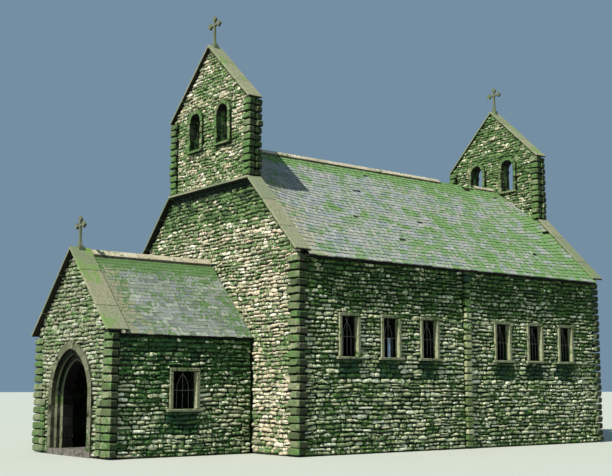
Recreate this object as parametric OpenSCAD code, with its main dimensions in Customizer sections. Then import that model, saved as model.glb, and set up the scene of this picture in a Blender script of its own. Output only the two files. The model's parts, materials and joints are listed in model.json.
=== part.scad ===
// Small stone chapel: a rubble nave with a bell gable at each end and a gabled entrance porch.
// Millimetres, +Z up. The porch faces -Y and the origin is on the ground under the middle of the plan.

/* [Nave] */
// Width across the side walls
nave_w = 7940; // [7400:10:8500]
// Length between the outer faces of the gable walls
nave_l = 11855; // [11200:5:12800]
// Thickness of the nave walls
wall_t = 450; // [400:10:550]
// Height of the slates at the ridge
ridge_h = 8400; // [8300:10:8500]
// Pitch of the nave roof in degrees
roof_pitch = 40.35; // [40:0.05:41]
// Thickness of the slates and their boarding
roof_t = 80; // [60:5:110]
// How far the eaves stand out past the side walls
eaves_over = 160; // [120:5:200]
// Height of the floor above the ground
floor_h = 150; // [100:10:200]

/* [Gables] */
// How far the top of the shoulder slab lies below the ridge
shoulder_drop = 1235; // [1150:5:1300]
// Length of the shoulder slab
shoulder_w = 3980; // [3940:10:4060]
// Thickness of the shoulder slab
shoulder_t = 70; // [50:5:100]
// Pitch of the gable copings in degrees
gable_pitch = 45.6; // [45:0.05:46]
// Thickness of the coping slabs
cope_t = 60; // [45:5:70]
// Overhang of the copings in front of the gable wall
cope_over = 160; // [120:5:200]
// Overhang of the copings above the slates
cope_lap = 45; // [30:5:60]
// Overhang of the foot of a gable coping past the side wall
cope_foot = 110; // [80:5:140]
// Thickness of the gable wall above the slates
parapet_t = 250; // [220:5:300]

/* [Bell gables] */
// Width of a bell gable
bell_w = 3860; // [3700:10:3920]
// How far a bell gable stands out in front of the gable wall
bell_fwd = 60; // [20:5:100]
// Height of the coping at the foot of a bell gable above the springing of the arches
bell_foot_rise = 228; // [180:2:300]
// Pitch of the bell gable copings in degrees
bell_pitch = 43.1; // [41:0.1:46]
// Overhang of the bell copings past the ends of the wall
bell_foot = 95; // [70:5:130]
// Overhang of the bell copings past the outer face of the wall
bell_over = 95; // [60:5:130]
// Distance between the middles of the two bell openings
bell_gap = 1390; // [1300:10:1500]
// Clear width of a bell opening
bell_open_w = 530; // [450:10:600]
// Height of the straight sides of a bell opening, from the sill to the springing
bell_straight = 805; // [740:5:860]
// How far the sills of the bell openings lie below the ridge
bell_sill_drop = 100; // [40:5:160]
// How far the sills stand out from the wall
bell_sill_proj = 90; // [60:5:110]
// Width of the stone margin round a bell opening
bell_margin = 110; // [90:5:150]
// Depth of the stone margin in the wall
bell_margin_d = 90; // [60:5:120]
// How far the margins and quoins of a bell gable stand proud of the rubble
bell_proud = 60; // [40:5:75]
// Width of a column of quoins on the face of a bell gable
bell_quoin_w = 200; // [160:10:260]
// How much further every second bell quoin reaches
bell_quoin_step = 50; // [30:5:80]
// Gap between the front and back columns of quoins at the ends
bell_quoin_gap = 40; // [20:5:60]

/* [Porch] */
// Width across the porch walls
porch_w = 4100; // [3900:10:4400]
// Length of the porch in front of the gable wall
porch_l = 4030; // [3800:10:4400]
// Thickness of the porch walls
porch_wall_t = 450; // [430:10:500]
// Thickness of the porch gable above the slates
porch_parapet_t = 350; // [300:10:380]
// Height of the top of the porch copings at the point
porch_cope_h = 5160; // [5100:10:5260]
// Pitch of the porch roof and copings in degrees
porch_pitch = 45.3; // [44.5:0.1:46]
// Height of the porch copings above the slates, measured upright
porch_upstand = 120; // [105:5:150]
// Thickness of the porch slates and their boarding
porch_roof_t = 70; // [60:5:90]
// Overhang of the porch eaves past its walls
porch_eaves = 55; // [20:5:90]
// Overhang of the foot of a porch coping past its wall
porch_foot = 80; // [75:5:110]
// Overhang of the porch copings in front of the gable
porch_over = 140; // [100:5:170]
// Overhang of the porch copings above the slates
porch_lap = 85; // [40:5:110]

/* [Doorways] */
// Clear width of the porch doorway
door_w = 1440; // [1300:10:1500]
// Height of the springing of the doorway arches
door_spring_h = 1450; // [1350:10:1550]
// Distance of the arch centres past the middle line, which makes the point
door_point = 172; // [120:2:220]
// Width of each step of the jamb
order_step = 140; // [110:5:160]
// Depth of the outer order behind the face of the wall
outer_order_d = 76; // [60:2:100]
// Depth of the middle order
middle_order_d = 90; // [70:5:120]
// Width of the masonry ring of the outer order
order_ring = 190; // [160:10:240]
// Clear width of the inner doorway
inner_door_w = 1300; // [1100:10:1400]
// Height of the springing of the inner doorway
inner_spring_h = 1500; // [1400:10:1600]

/* [Windows] */
// Clear width of a nave window
win_w = 525; // [460:1:560]
// Clear height of a nave window
win_h = 1014; // [900:2:1080]
// Height of the sills of the nave windows
win_sill_h = 2418; // [2300:2:2500]
// Distance between the windows of a group
win_pitch = 1412; // [1300:2:1480]
// Distance from the middle of the nave to the middle of a group
win_group = 2872; // [2800:2:2960]
// Clear width of a porch window
porch_win_w = 670; // [560:5:720]
// Clear height of a porch window
porch_win_h = 900; // [800:10:960]
// Height of the sills of the porch windows
porch_win_sill_h = 1133; // [1050:1:1200]
// Distance from the nave wall to the middle of a porch window
porch_win_back = 1995; // [1950:5:2100]
// Width of a window jamb
jamb_w = 88; // [70:2:120]
// Height of a window lintel
lintel_h = 90; // [70:5:140]
// Height of a window sill
sill_h = 75; // [60:5:120]
// Depth of the window stones in the wall
frame_d = 130; // [110:10:200]
// How much wider a window gets on each side from its stones to the inside of the wall
win_splay = 120; // [60:10:180]
// How far a sill runs past the jambs
sill_ear = 80; // [50:5:100]
// How far a sill stands out from the wall
sill_proj = 65; // [50:5:100]
// How far jambs, lintels and the doorway stand proud of the rubble
proud = 30; // [20:5:45]

/* [Pilasters and quoins] */
// Width of the pilaster between the window groups
pilaster_w = 260; // [220:10:340]
// Projection of the pilaster
pilaster_d = 55; // [40:5:90]
// Height of a course of quoins at the corners of the nave and porch
quoin_h = 195; // [170:5:220]
// Reach of a long quoin on one face of a nave corner
quoin_long = 420; // [380:10:450]
// Reach of a short quoin on the gable face of a nave corner
quoin_short = 320; // [280:10:360]
// Reach of a short quoin on the side of a nave corner
quoin_side = 220; // [180:10:240]
// How much further every second nave quoin reaches on a side
quoin_step = 80; // [50:5:100]
// How far the quoins of the nave stand proud of the rubble
quoin_proud = 35; // [20:5:60]
// Reach of a porch quoin on the gable face
porch_quoin_w = 370; // [320:10:420]
// Reach of the wide quoins at the foot of the porch gable
porch_quoin_wide = 620; // [560:10:680]
// Height up to which the wide quoins run
porch_quoin_wide_h = 1300; // [1100:10:1400]
// Reach of a porch quoin on the side
porch_quoin_side = 190; // [150:10:240]
// How much further every second porch quoin reaches on the side
porch_quoin_step = 40; // [20:5:80]
// How far the quoins of the porch stand proud of the rubble
porch_proud = 65; // [30:5:70]

/* [Ridges and crosses] */
// Thickness of the ridge stones
ridge_t = 60; // [45:5:80]
// Length of each leg of the ridge stones, measured across
ridge_leg = 135; // [110:5:180]
// Length of ridge stones left standing at the far end, past the lost ones
ridge_end_l = 985; // [900:5:1100]
// Length of the ridge that has lost its stones
ridge_lost_l = 1700; // [1500:50:1900]
// Height of a cross above the point of the coping
cross_h = 870; // [760:10:900]
// Height of the porch cross
porch_cross_h = 785; // [680:5:840]
// Thickness of a cross
cross_t = 66; // [50:2:100]
// Height of the arms, as a share of the height of the cross
cross_arm_at = 0.7; // [0.6:0.01:0.8]
// Reach of an arm, as a share of the height
cross_reach = 0.345; // [0.28:0.005:0.38]
// Width of the shaft and arms, as a share of the height
cross_bar = 0.066; // [0.05:0.002:0.1]
// Radius of a lobe at the end of an arm, as a share of the height
cross_lobe = 0.051; // [0.04:0.001:0.06]
// Width of the flared foot, as a share of the height
cross_foot = 0.2; // [0.15:0.01:0.26]
// How far the plinth reaches past the flared foot
cross_lip = 20; // [10:2:40]

/* [Hidden] */
$fn = 64;
e = 1;

shoulder_h = ridge_h - shoulder_drop;
bell_sill_h = ridge_h - bell_sill_drop;
bell_spring_h = bell_sill_h + bell_straight;
bell_foot_h = bell_spring_h + bell_foot_rise;

half_w = nave_w / 2;
half_s = shoulder_w / 2;
half_b = bell_w / 2;
half_p = porch_w / 2;

// Upright thickness of a slab laid at a pitch
function upright(t, pitch) = t / cos(pitch);

// Tops of the slates, copings and bell copings over a point x from the middle
function roof_z(x) = ridge_h - x * tan(roof_pitch);
function cope_z(x) = shoulder_h - (x - half_s) * tan(gable_pitch);
bell_foot_x = half_b + bell_foot;
function bell_z(x) = bell_foot_h + (bell_foot_x - x) * tan(bell_pitch);
function porch_cope_z(x) = porch_cope_h - x * tan(porch_pitch);
function porch_roof_z(x) = porch_cope_z(x) - porch_upstand;

roof_v = upright(roof_t, roof_pitch);
cope_v = upright(cope_t, gable_pitch);
bell_v = upright(cope_t, bell_pitch);
porch_cope_v = upright(cope_t, porch_pitch);
porch_roof_v = upright(porch_roof_t, porch_pitch);

eaves_x = half_w + eaves_over;
cope_x = half_w + cope_foot;
porch_eaves_x = half_p + porch_eaves;
porch_foot_x = half_p + porch_foot;

// Places along the plan, measured from the outer face of the front gable wall
porch_front = -porch_l;
plan_front = porch_front - porch_over;
plan_back = nave_l + cope_over;
mid_plan = (plan_front + plan_back) / 2;
nave_mid = nave_l / 2;

win_ys = [for (g = [-1, 1], k = [-1, 0, 1]) nave_mid + g * win_group + k * win_pitch];
porch_win_y = -porch_win_back;

// Fronts and backs of the three orders of the doorway
order_ys = [porch_front - proud, porch_front + outer_order_d,
    porch_front + outer_order_d + middle_order_d, porch_front + porch_wall_t];
door_half = door_w / 2;
ring_half = door_half + 2 * order_step + order_ring;

// Moves the plan so that its middle stands on the origin
module place() { translate([0, -mid_plan, 0]) children(); }

// An upright outline in x and z, drawn out along the building from y0 to y1
module along(y0, y1) {
    translate([0, y1, 0]) rotate([90, 0, 0]) linear_extrude(y1 - y0) children();
}

module box(x0, x1, y0, y1, z0, z1) {
    translate([x0, y0, z0]) cube([x1 - x0, y1 - y0, z1 - z0]);
}

// The same piece at the other end of the nave, turned to face outwards
module other_end() { translate([0, nave_l, 0]) mirror([0, 1, 0]) children(); }

// The same piece on the left side
module other_side() { mirror([1, 0, 0]) children(); }

module both_sides() {
    children();
    other_side() children();
}

// Section of a slab that falls from height z0 at x0 to height z1 at x1, with its foot cut square
module slope(x0, z0, x1, z1, v) {
    fall = atan2(z0 - z1, x1 - x0);
    t = v * cos(fall);
    polygon([[x0, z0], [x1, z1], [x1 - t * sin(fall), z1 - t * cos(fall)], [x0, z0 - v]]);
}

// Outline of a two-centred pointed arch of half width a, from z0 up
module pointed(a, z0, spring, point = door_point) {
    translate([-a, z0]) square([2 * a, spring - z0]);
    intersection() {
        translate([point, spring]) circle(a + point, $fn = 96);
        translate([-point, spring]) circle(a + point, $fn = 96);
        translate([-a, spring - e]) square([2 * a, 2 * a + 2 * point]);
    }
}

// Outline of a round-headed opening of half width a
module round_head(a, z0, spring) {
    translate([-a, z0]) square([2 * a, spring - z0]);
    translate([0, spring]) circle(a);
}

// Outline of the gable under its copings and shoulder slab
module gable_outline() {
    polygon([[-half_w, 0], [half_w, 0], [half_w, cope_z(half_w) - cope_v],
        [half_s, cope_z(half_s) - cope_v], [half_s, shoulder_h - shoulder_t],
        [-half_s, shoulder_h - shoulder_t], [-half_s, cope_z(half_s) - cope_v],
        [-half_w, cope_z(half_w) - cope_v]]);
}

// Outline of the inner leaf of the gable, which carries the ends of the roof
module leaf_outline() {
    polygon([[-half_w, 0], [half_w, 0], [half_w, roof_z(half_w) - roof_v],
        [0, ridge_h - roof_v], [-half_w, roof_z(half_w) - roof_v]]);
}

module gable_wall() {
    along(0, parapet_t) gable_outline();
    along(parapet_t - e, wall_t) intersection() {
        leaf_outline();
        translate([-half_w, 0]) square([nave_w, ridge_h]);
    }
}

// Courses of quoins at both corners of a nave gable, long and short by turns on each face
quoin_top = roof_z(half_w + quoin_proud) - roof_v - e;
quoin_n = round(quoin_top / quoin_h);
quoin_rise = quoin_top / quoin_n;
module gable_quoins() both_sides() {
    box(half_w - quoin_short, half_w + quoin_proud, -quoin_proud, quoin_side, 0, quoin_top);
    for (k = [0:2:quoin_n - 1])
        box(half_w - quoin_long, half_w, -quoin_proud, quoin_side, k * quoin_rise, (k + 1) * quoin_rise);
    for (k = [1:2:quoin_n - 1])
        box(half_w - quoin_short, half_w + quoin_proud, 0, quoin_side + quoin_step, k * quoin_rise,
            (k + 1) * quoin_rise);
}

module front_wall() color("DarkKhaki") place() difference() {
    gable_wall();
    gable_quoins();
    along(-e, wall_t + e) pointed(inner_door_w / 2, floor_h, inner_spring_h);
}

module rear_wall() color("DarkKhaki") place() other_end() difference() {
    gable_wall();
    gable_quoins();
}

// Section of a side wall, whose top is cut to the roof
module side_section() {
    inner = half_w - wall_t;
    polygon([[inner, 0], [half_w, 0], [half_w, roof_z(half_w) - roof_v],
        [inner, roof_z(inner) - roof_v]]);
}

// Hole for a window, which is splayed behind its stones, and the pocket for the stones
module window_cut(y, w, h, z, face, t) {
    half_in = w / 2 + win_splay;
    translate([0, y, z]) linear_extrude(h) polygon([[face - t - e, -half_in], [face - frame_d, -w / 2],
        [face, -w / 2], [face, w / 2], [face - frame_d, w / 2], [face - t - e, half_in]]);
    box(face - frame_d, face + e, y - w / 2 - jamb_w, y + w / 2 + jamb_w, z - sill_h, z + h + lintel_h);
    box(face - frame_d, face + e, y - w / 2 - jamb_w - sill_ear, y + w / 2 + jamb_w + sill_ear,
        z - sill_h, z);
}

module side_wall() difference() {
    along(wall_t, nave_l - wall_t) side_section();
    for (y = win_ys) window_cut(y, win_w, win_h, win_sill_h, half_w, wall_t);
}

module right_wall() color("DarkKhaki") place() side_wall();
module left_wall() color("DarkKhaki") place() other_side() side_wall();

module pilasters() color("Khaki") place() both_sides()
    along(nave_mid - pilaster_w / 2, nave_mid + pilaster_w / 2)
        polygon([[half_w, 0], [half_w + pilaster_d, 0],
            [half_w + pilaster_d, roof_z(half_w + pilaster_d) - roof_v],
            [half_w, roof_z(half_w) - roof_v]]);

module nave_floor() color("Gray") place()
    box(-half_w + wall_t, half_w - wall_t, wall_t, nave_l - wall_t, 0, floor_h);

module shoulder() {
    box(-half_s, half_s, -cope_over, parapet_t, shoulder_h - shoulder_t, shoulder_h);
}

module front_shoulder() color("Tan") place() shoulder();
module rear_shoulder() color("Tan") place() other_end() shoulder();

module gable_coping() along(-cope_over, parapet_t + cope_lap)
    slope(half_s, cope_z(half_s), cope_x, cope_z(cope_x), cope_v);

module front_gable_copings() color("Tan") place() both_sides() gable_coping();
module rear_gable_copings() color("Tan") place() other_end() both_sides() gable_coping();

// Holes and pockets of the two bell openings
module bell_cuts() for (x = [-bell_gap / 2, bell_gap / 2]) translate([x, 0, 0]) {
    along(-bell_fwd - e, parapet_t + e) round_head(bell_open_w / 2, bell_sill_h, bell_spring_h);
    for (y = [-bell_fwd - e, parapet_t - bell_margin_d])
        along(y, y + bell_margin_d + e)
            round_head(bell_open_w / 2 + bell_margin, bell_sill_h, bell_spring_h);
    box(-bell_open_w / 2 - bell_margin, bell_open_w / 2 + bell_margin, -bell_fwd - e,
        parapet_t + e, bell_sill_h - sill_h, bell_sill_h);
}

// Two columns of quoins at each end of a bell gable, one on either face
bell_quoin_top = bell_z(half_b + bell_proud) - bell_v - e;
bell_mid = (parapet_t - bell_fwd) / 2;
bell_quoin_n = round((bell_quoin_top - shoulder_h) / quoin_h);
bell_quoin_rise = (bell_quoin_top - shoulder_h) / bell_quoin_n;
module bell_quoin_column(y0, y1, first) {
    box(half_b - bell_quoin_w, half_b + bell_proud, y0, y1, shoulder_h, bell_quoin_top);
    for (k = [first:2:bell_quoin_n - 1])
        box(half_b - bell_quoin_w - bell_quoin_step, half_b, y0, y1,
            shoulder_h + k * bell_quoin_rise, shoulder_h + (k + 1) * bell_quoin_rise);
}

module bell_quoin_columns() both_sides() {
    bell_quoin_column(-bell_fwd - bell_proud, bell_mid - bell_quoin_gap / 2, 0);
    bell_quoin_column(bell_mid + bell_quoin_gap / 2, parapet_t + bell_proud, 1);
}

module bell_quoins() color("Khaki") place() {
    bell_quoin_columns();
    other_end() bell_quoin_columns();
}

module bell_wall() difference() {
    along(-bell_fwd, parapet_t) polygon([[-half_b, shoulder_h], [half_b, shoulder_h],
        [half_b, bell_z(half_b) - bell_v], [0, bell_z(0) - bell_v],
        [-half_b, bell_z(half_b) - bell_v]]);
    bell_cuts();
    bell_quoin_columns();
}

module front_bell_wall() color("DarkKhaki") place() bell_wall();
module rear_bell_wall() color("DarkKhaki") place() other_end() bell_wall();

module bell_coping() along(-bell_fwd - bell_over, parapet_t + cope_lap)
    slope(0, bell_z(0), bell_foot_x, bell_z(bell_foot_x), bell_v);

module front_bell_coping_right() color("Tan") place() bell_coping();
module front_bell_coping_left() color("Tan") place() other_side() bell_coping();
module rear_bell_coping_right() color("Tan") place() other_end() bell_coping();
module rear_bell_coping_left() color("Tan") place() other_end() other_side() bell_coping();

// Margins on both faces of a bell gable
module bell_margins() for (x = [-bell_gap / 2, bell_gap / 2]) translate([x, 0, 0])
    for (y = [-bell_fwd - bell_proud, parapet_t - bell_margin_d])
        along(y, y + bell_margin_d + bell_proud) difference() {
            round_head(bell_open_w / 2 + bell_margin, bell_sill_h, bell_spring_h);
            round_head(bell_open_w / 2, bell_sill_h - e, bell_spring_h);
        }

module bell_arches() color("Wheat") place() {
    bell_margins();
    other_end() bell_margins();
}

module bell_sill_pair() for (x = [-bell_gap / 2, bell_gap / 2])
    box(x - bell_open_w / 2 - bell_margin, x + bell_open_w / 2 + bell_margin,
        -bell_fwd - bell_sill_proj, parapet_t + bell_proud, bell_sill_h - sill_h, bell_sill_h);

module bell_sills() color("Wheat") place() {
    bell_sill_pair();
    other_end() bell_sill_pair();
}

module nave_roof() along(parapet_t, nave_l - parapet_t)
    slope(0, ridge_h, eaves_x, roof_z(eaves_x), roof_v);

module nave_roof_right() color("SlateGray") place() nave_roof();
module nave_roof_left() color("SlateGray") place() other_side() nave_roof();

// Section of the ridge stones, laid over slates that fall from height z at a pitch
module ridge_section(z, pitch) {
    v = upright(ridge_t, pitch);
    drop = ridge_leg * tan(pitch);
    polygon([[0, z], [ridge_leg, z - drop], [ridge_leg, z - drop + v], [0, z + v],
        [-ridge_leg, z - drop + v], [-ridge_leg, z - drop]]);
}

// The ridge stones are lost over a stretch near the far end
module nave_ridge() color("Tan") place() {
    far_run = nave_l - parapet_t - ridge_end_l;
    along(parapet_t, far_run - ridge_lost_l) ridge_section(ridge_h, roof_pitch);
    along(far_run, nave_l - parapet_t) ridge_section(ridge_h, roof_pitch);
}

// A cross with trefoil ends and a flared foot that stands at the point of a coping
module cross(h) {
    arm_z = cross_arm_at * h;
    reach = cross_reach * h;
    bar = cross_bar * h;
    lobe = cross_lobe * h;
    foot = cross_foot * h / 2;
    along(-cross_t / 2, cross_t / 2) {
        translate([-bar / 2, 0]) square([bar, h - 2 * lobe]);
        translate([-reach + lobe, arm_z - bar / 2]) square([2 * (reach - lobe), bar]);
        for (p = [[-reach + lobe, arm_z], [reach - lobe, arm_z], [0, h - lobe]]) translate(p) circle(lobe);
        for (s = [-1, 1]) {
            for (u = [-1, 1]) translate([s * (reach - 2 * lobe), arm_z + u * lobe]) circle(lobe);
            translate([s * lobe, h - 2 * lobe]) circle(lobe);
        }
        polygon([[-foot, 0], [foot, 0], [0.8 * foot, foot / 2], [(bar + foot) / 4, 2 * foot],
            [bar / 2, 4 * foot], [-bar / 2, 4 * foot], [-(bar + foot) / 4, 2 * foot],
            [-0.8 * foot, foot / 2]]);
    }
}

// A cross on the point of a coping, with a low base that sits astride the two slabs
module seated_cross(h, top, pitch, y) difference() {
    base = cross_foot * h / 2 + cross_lip;
    translate([0, y, top]) {
        cross(h);
        box(-base, base, -cross_t, cross_t, -base * tan(pitch), base / 4);
    }
    along(y - 2 * cross_t, y + 2 * cross_t)
        polygon([[0, top], [h, top - h * tan(pitch)], [-h, top - h * tan(pitch)]]);
}

bell_cross_y = (parapet_t + cope_lap - bell_fwd - bell_over) / 2;
porch_cross_y = porch_front + (porch_parapet_t + porch_lap - porch_over) / 2;

module front_cross() color("Wheat") place() seated_cross(cross_h, bell_z(0), bell_pitch, bell_cross_y);
module rear_cross() color("Wheat") place() other_end()
    seated_cross(cross_h, bell_z(0), bell_pitch, bell_cross_y);
module porch_cross() color("Wheat") place()
    seated_cross(porch_cross_h, porch_cope_h, porch_pitch, porch_cross_y);

module lintel(y, w, h, z, face)
    box(face - frame_d, face + proud, y - w / 2 - jamb_w, y + w / 2 + jamb_w, z + h, z + h + lintel_h);

module jambs(y, w, h, z, face) for (s = [-1, 1])
    translate([0, y + s * (w + jamb_w) / 2, 0])
        box(face - frame_d, face + proud, -jamb_w / 2, jamb_w / 2, z, z + h);

module sill(y, w, h, z, face)
    box(face - frame_d, face + sill_proj, y - w / 2 - jamb_w - sill_ear, y + w / 2 + jamb_w + sill_ear,
        z - sill_h, z);

module window_lintels() {
    for (y = win_ys) lintel(y, win_w, win_h, win_sill_h, half_w);
    lintel(porch_win_y, porch_win_w, porch_win_h, porch_win_sill_h, half_p);
}

module window_jambs() {
    for (y = win_ys) jambs(y, win_w, win_h, win_sill_h, half_w);
    jambs(porch_win_y, porch_win_w, porch_win_h, porch_win_sill_h, half_p);
}

module window_sills() {
    for (y = win_ys) sill(y, win_w, win_h, win_sill_h, half_w);
    sill(porch_win_y, porch_win_w, porch_win_h, porch_win_sill_h, half_p);
}

module right_window_lintels() color("Wheat") place() window_lintels();
module right_window_jambs() color("Wheat") place() window_jambs();
module right_window_sills() color("Wheat") place() window_sills();
module left_window_lintels() color("Wheat") place() other_side() window_lintels();
module left_window_jambs() color("Wheat") place() other_side() window_jambs();
module left_window_sills() color("Wheat") place() other_side() window_sills();

module porch_floor() color("Gray") place()
    box(-half_p + porch_wall_t, half_p - porch_wall_t, porch_front + porch_wall_t, 0, 0, floor_h);

// Section of the porch under a slab whose top at the middle is at height z
module porch_outline(z, v) {
    fall = half_p * tan(porch_pitch);
    polygon([[-half_p, 0], [half_p, 0], [half_p, z - fall - v], [0, z - v], [-half_p, z - fall - v]]);
}

// Courses of quoins at both front corners of the porch, wide ones at the foot
porch_quoin_top = porch_cope_z(half_p + porch_proud) - porch_cope_v - e;
porch_quoin_n = round(porch_quoin_top / quoin_h);
porch_quoin_rise = porch_quoin_top / porch_quoin_n;
porch_wide_n = round(porch_quoin_wide_h / porch_quoin_rise);
module porch_quoin_courses() both_sides() {
    box(half_p - porch_quoin_w, half_p + porch_proud, porch_front - proud,
        porch_front + porch_quoin_side, 0, porch_quoin_top);
    box(half_p - porch_quoin_wide, half_p, porch_front - proud, porch_front + porch_quoin_side,
        0, porch_wide_n * porch_quoin_rise);
    for (k = [1:2:porch_quoin_n - 1])
        box(half_p - porch_quoin_w, half_p + porch_proud, porch_front,
            porch_front + porch_quoin_side + porch_quoin_step, k * porch_quoin_rise,
            (k + 1) * porch_quoin_rise);
}

module corner_quoins() color("Khaki") place() {
    gable_quoins();
    other_end() gable_quoins();
    porch_quoin_courses();
}

module porch_front_wall() color("DarkKhaki") place() difference() {
    union() {
        along(porch_front, porch_front + porch_parapet_t) porch_outline(porch_cope_h, porch_cope_v);
        along(porch_front + porch_parapet_t - e, porch_front + porch_wall_t)
            porch_outline(porch_roof_z(0), porch_roof_v);
    }
    along(porch_front - e, porch_front + porch_wall_t + e) pointed(ring_half, -e, door_spring_h);
    porch_quoin_courses();
}

module porch_side() difference() {
    inner = half_p - porch_wall_t;
    along(porch_front + porch_wall_t, 0) polygon([[inner, 0], [half_p, 0],
        [half_p, porch_roof_z(half_p) - porch_roof_v], [inner, porch_roof_z(inner) - porch_roof_v]]);
    window_cut(porch_win_y, porch_win_w, porch_win_h, porch_win_sill_h, half_p, porch_wall_t);
}

module porch_right_wall() color("DarkKhaki") place() porch_side();
module porch_left_wall() color("DarkKhaki") place() other_side() porch_side();

module porch_roof() along(porch_front + porch_parapet_t, 0)
    slope(0, porch_roof_z(0), porch_eaves_x, porch_roof_z(porch_eaves_x), porch_roof_v);

module porch_roof_right() color("SlateGray") place() porch_roof();
module porch_roof_left() color("SlateGray") place() other_side() porch_roof();
module porch_ridge() color("Tan") place()
    along(porch_front + porch_parapet_t + porch_lap, 0) ridge_section(porch_roof_z(0), porch_pitch);

module porch_coping() along(porch_front - porch_over, porch_front + porch_parapet_t + porch_lap)
    slope(0, porch_cope_h, porch_foot_x, porch_cope_z(porch_foot_x), porch_cope_v);

module porch_coping_right() color("Tan") place() porch_coping();
module porch_coping_left() color("Tan") place() other_side() porch_coping();

// One stepped order of the doorway, counted from the front
module doorway_order(k) {
    along(order_ys[k], order_ys[k + 1]) difference() {
        pointed(ring_half, floor_h, door_spring_h);
        pointed(door_half + (2 - k) * order_step, floor_h - e, door_spring_h);
    }
}

// The step under the doorway, as deep as the wall
module doorway_threshold() color("Gray") place()
    box(-ring_half, ring_half, order_ys[0], order_ys[3], 0, floor_h);

module doorway_outer_order() color("Wheat") place() doorway_order(0);
module doorway_middle_order() color("Wheat") place() doorway_order(1);
module doorway_inner_order() color("Wheat") place() doorway_order(2);

nave_floor();
porch_floor();
front_wall();
rear_wall();
right_wall();
left_wall();
pilasters();
front_shoulder();
rear_shoulder();
front_bell_wall();
rear_bell_wall();
front_bell_coping_right();
front_bell_coping_left();
rear_bell_coping_right();
rear_bell_coping_left();
front_gable_copings();
rear_gable_copings();
bell_arches();
bell_sills();
nave_roof_right();
nave_roof_left();
nave_ridge();
front_cross();
rear_cross();
porch_cross();
right_window_lintels();
right_window_jambs();
right_window_sills();
left_window_lintels();
left_window_jambs();
left_window_sills();
porch_front_wall();
porch_right_wall();
porch_left_wall();
porch_roof_right();
porch_roof_left();
porch_ridge();
porch_coping_right();
porch_coping_left();
doorway_outer_order();
doorway_middle_order();
doorway_inner_order();
doorway_threshold();
corner_quoins();
bell_quoins();
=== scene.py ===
# Looks of the small stone chapel: rubble, dressed stones, copings, slates and window grilles
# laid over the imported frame. Metres, +Z up, the porch faces -Y.
import json
import random
from functools import partial
from math import acos, atan, atan2, cos, pi, radians, sin, sqrt, tan

import bpy
from mathutils import Matrix, Vector, noise

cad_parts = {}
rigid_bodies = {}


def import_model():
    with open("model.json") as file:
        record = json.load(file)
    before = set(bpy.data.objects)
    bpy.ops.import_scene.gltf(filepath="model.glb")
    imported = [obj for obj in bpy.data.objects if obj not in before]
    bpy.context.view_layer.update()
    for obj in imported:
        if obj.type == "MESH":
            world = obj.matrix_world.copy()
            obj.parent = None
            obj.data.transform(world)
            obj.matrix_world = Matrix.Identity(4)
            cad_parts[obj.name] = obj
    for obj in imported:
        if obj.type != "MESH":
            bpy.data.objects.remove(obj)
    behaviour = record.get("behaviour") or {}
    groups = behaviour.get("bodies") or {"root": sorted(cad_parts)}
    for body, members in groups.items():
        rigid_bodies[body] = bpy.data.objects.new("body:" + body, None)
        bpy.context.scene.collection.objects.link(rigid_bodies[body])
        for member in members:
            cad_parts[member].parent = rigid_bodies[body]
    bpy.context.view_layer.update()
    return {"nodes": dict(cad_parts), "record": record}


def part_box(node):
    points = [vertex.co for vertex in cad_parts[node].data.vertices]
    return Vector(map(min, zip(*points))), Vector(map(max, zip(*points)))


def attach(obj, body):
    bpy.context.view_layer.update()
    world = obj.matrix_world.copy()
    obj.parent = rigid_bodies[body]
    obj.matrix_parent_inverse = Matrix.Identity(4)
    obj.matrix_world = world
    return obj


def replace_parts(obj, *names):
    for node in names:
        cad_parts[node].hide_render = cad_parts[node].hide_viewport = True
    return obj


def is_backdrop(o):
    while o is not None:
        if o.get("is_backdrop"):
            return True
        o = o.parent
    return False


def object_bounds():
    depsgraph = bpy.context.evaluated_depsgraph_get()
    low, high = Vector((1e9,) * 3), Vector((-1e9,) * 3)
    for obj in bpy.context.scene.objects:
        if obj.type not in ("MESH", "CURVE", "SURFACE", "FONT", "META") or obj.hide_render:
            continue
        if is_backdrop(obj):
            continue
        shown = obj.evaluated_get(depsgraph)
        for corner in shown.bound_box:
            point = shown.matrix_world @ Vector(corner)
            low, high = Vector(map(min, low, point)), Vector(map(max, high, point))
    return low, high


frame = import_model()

nodes = frame["nodes"]

# Camera, daylight and floor. A hard sun stands high before the porch, so that its light grazes the
# right side wall, and a pale blue sky fills the shadows. The floor is a plain pale sheet.
bpy.ops.object.camera_add(location=(24.160, -19.582, 1.620),
                          rotation=(radians(98.154), 0, radians(51.782)))
camera = bpy.context.object
camera.data.lens = 61.87
camera.data.sensor_width = 36
bpy.context.scene.camera = camera

sun_from = Vector((0.115, -0.630, 0.768))
bpy.ops.object.light_add(type="SUN", rotation=(-sun_from).to_track_quat("-Z", "Y").to_euler())
sun = bpy.context.object.data
sun.energy = 6.0
sun.angle = radians(0.8)
sun.color = (1.0, 0.95, 0.87)

world = bpy.data.worlds.new("pale_sky")
bpy.context.scene.world = world
world.use_nodes = True
sky = world.node_tree.nodes["Background"]
sky.inputs["Color"].default_value = (0.52, 0.80, 1.08, 1)
sky.inputs["Strength"].default_value = 0.34
bpy.context.scene.view_settings.view_transform = "Standard"

bpy.ops.mesh.primitive_plane_add(size=900, location=(0, 0, -0.002))
floor = bpy.context.object
floor.name = "studio_floor"
floor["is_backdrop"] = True


def linear(hex_colour):
    """The linear colour of an sRGB hex value."""
    parts = [int(hex_colour[i:i + 2], 16) / 255 for i in (1, 3, 5)]
    return tuple(p / 12.92 if p <= 0.04045 else ((p + 0.055) / 1.055) ** 2.4 for p in parts) + (1,)


def feed(node, inputs):
    """Sets a node's inputs to values, or links them to other nodes' outputs."""
    for key, value in inputs.items():
        if isinstance(value, bpy.types.NodeSocket):
            node.id_data.links.new(value, node.inputs[key])
        else:
            node.inputs[key].default_value = value


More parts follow.
